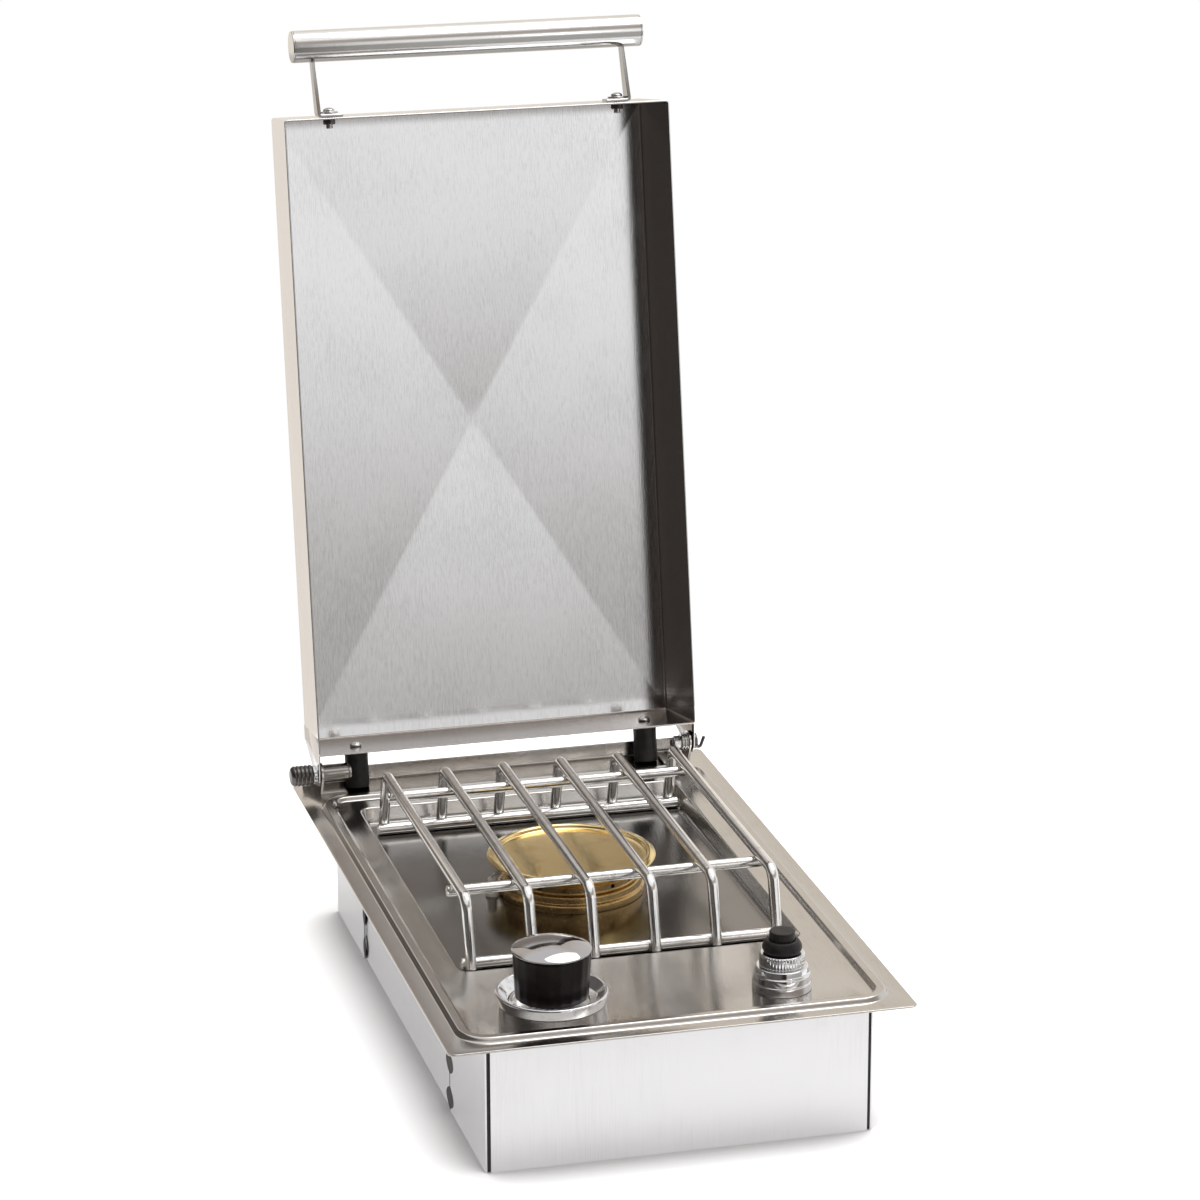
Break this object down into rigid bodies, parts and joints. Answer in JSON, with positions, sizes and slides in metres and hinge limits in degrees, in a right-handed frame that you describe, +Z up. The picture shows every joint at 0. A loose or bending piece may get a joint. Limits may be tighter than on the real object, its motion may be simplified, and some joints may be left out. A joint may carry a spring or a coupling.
{
  "type": "built_in_side_burner",
  "caption": "Drop-in stainless gas side burner, its tall lid open on rubber stops, with a rod grate over a brass burner, a black knob and a push igniter.",
  "frame": {"origin": "centre of the box's flat underside, midway along and across the top plate", "axes": "+X to the right, +Y to the rear where the lid is hinged, +Z up"},
  "size_m": [0.3362, 0.6618, 0.6712],
  "materials": {
    "satin_steel": "satin, semi-mirror",
    "box_steel": "bright brushed",
    "lid_steel": "brushed along its length",
    "polished_steel": "polished",
    "chrome": "mirror",
    "fastener_steel": "plated",
    "dark_steel": "dark plated",
    "brass": "bright turned",
    "stop_rubber": "matte",
    "knob_plastic": "gloss",
    "button_plastic": "matte",
    "electrode_ceramic": "glazed"
  },
  "bodies": {
    "base": {"top_plate": "satin_steel", "front_panel": "box_steel", "front_corner_left": "box_steel", "front_corner_right": "box_steel", "side_panel_left": "box_steel", "side_panel_right": "box_steel", "rear_panel": "box_steel", "bottom_pan": "box_steel", "hinge_bracket_left": "satin_steel", "hinge_bracket_right": "satin_steel", "hinge_pin_left": "fastener_steel", "hinge_cap_left": "dark_steel", "hinge_washer_left": "chrome", "hinge_spacer_left": "dark_steel", "hinge_washers_right": "fastener_steel", "hinge_nut_right": "chrome", "hinge_pin_right": "dark_steel", "burner_head": "brass", "mixing_tube": "fastener_steel", "mixing_tube_bracket": "fastener_steel", "knob_bezel": "chrome", "valve_body": "brass", "valve_bracket": "fastener_steel", "igniter_base": "chrome", "igniter_ring": "chrome", "igniter_collar": "stop_rubber", "piezo_body": "button_plastic", "electrode_ceramic": "electrode_ceramic", "electrode_wire": "fastener_steel", "ignition_lead": "stop_rubber", "inlet_pipe": "brass", "gas_inlet": "brass", "orifice_fitting": "brass", "supply_tube": "brass"},
    "lid": {"lid_pan": "lid_steel", "lid_stop_left": "stop_rubber", "lid_stop_right": "stop_rubber", "stop_screw_left": "fastener_steel", "stop_screw_right": "fastener_steel", "handle_tube": "polished_steel", "handle_cap_left": "polished_steel", "handle_cap_right": "polished_steel", "handle_strap_left": "polished_steel", "handle_strap_right": "polished_steel", "handle_bolt_left": "fastener_steel", "handle_bolt_right": "fastener_steel", "handle_nut_left": "dark_steel", "handle_nut_right": "dark_steel"},
    "valve_core": {"valve_plug": "brass"},
    "knob": {"knob_body": "knob_plastic", "knob_cap": "chrome", "valve_stem": "fastener_steel"},
    "igniter_push_button": {"igniter_button": "button_plastic"},
    "grate": {"grate_frame": "polished_steel", "grate_rod_1": "polished_steel", "grate_rod_2": "polished_steel", "grate_rod_3": "polished_steel", "grate_rod_4": "polished_steel"},
    "burner_cap": {"burner_cap": "brass"},
    "air_shutter": {"air_shutter": "fastener_steel"}
  },
  "joints": [
    {"name": "lid_hinge", "type": "hinge", "parent": "base", "child": "lid", "pos_m": [0, 0.245, 0.1126], "axis": [1, 0, 0], "range_deg": [0, 99.8]},
    {"name": "knob_turn", "type": "hinge", "parent": "base", "child": "valve_core", "pos_m": [-0.0754, -0.1983, 0.08], "axis": [0, 0, 1], "range_deg": [0, 225]},
    {"name": "knob_push", "type": "slide", "parent": "valve_core", "child": "knob", "axis": [0, 0, -1], "range_m": [0, 0.0035], "stiffness_N_per_m": 1500, "springref_m": -0.0015},
    {"name": "igniter_push", "type": "slide", "parent": "base", "child": "igniter_push_button", "axis": [0, 0, -1], "range_m": [0, 0.005], "stiffness_N_per_m": 2500, "springref_m": -0.0015},
    {"name": "grate_lift", "type": "slide", "parent": "base", "child": "grate", "axis": [0, 0, 1], "range_m": [0, 0.025]},
    {"name": "burner_cap_lift", "type": "slide", "parent": "base", "child": "burner_cap", "axis": [0, 0, 1], "range_m": [0, 0.015]},
    {"name": "air_shutter_turn", "type": "hinge", "parent": "base", "child": "air_shutter", "pos_m": [-0.0015, -0.112, 0.045], "axis": [0, 1, 0], "range_deg": [0, 60]}
  ]
}
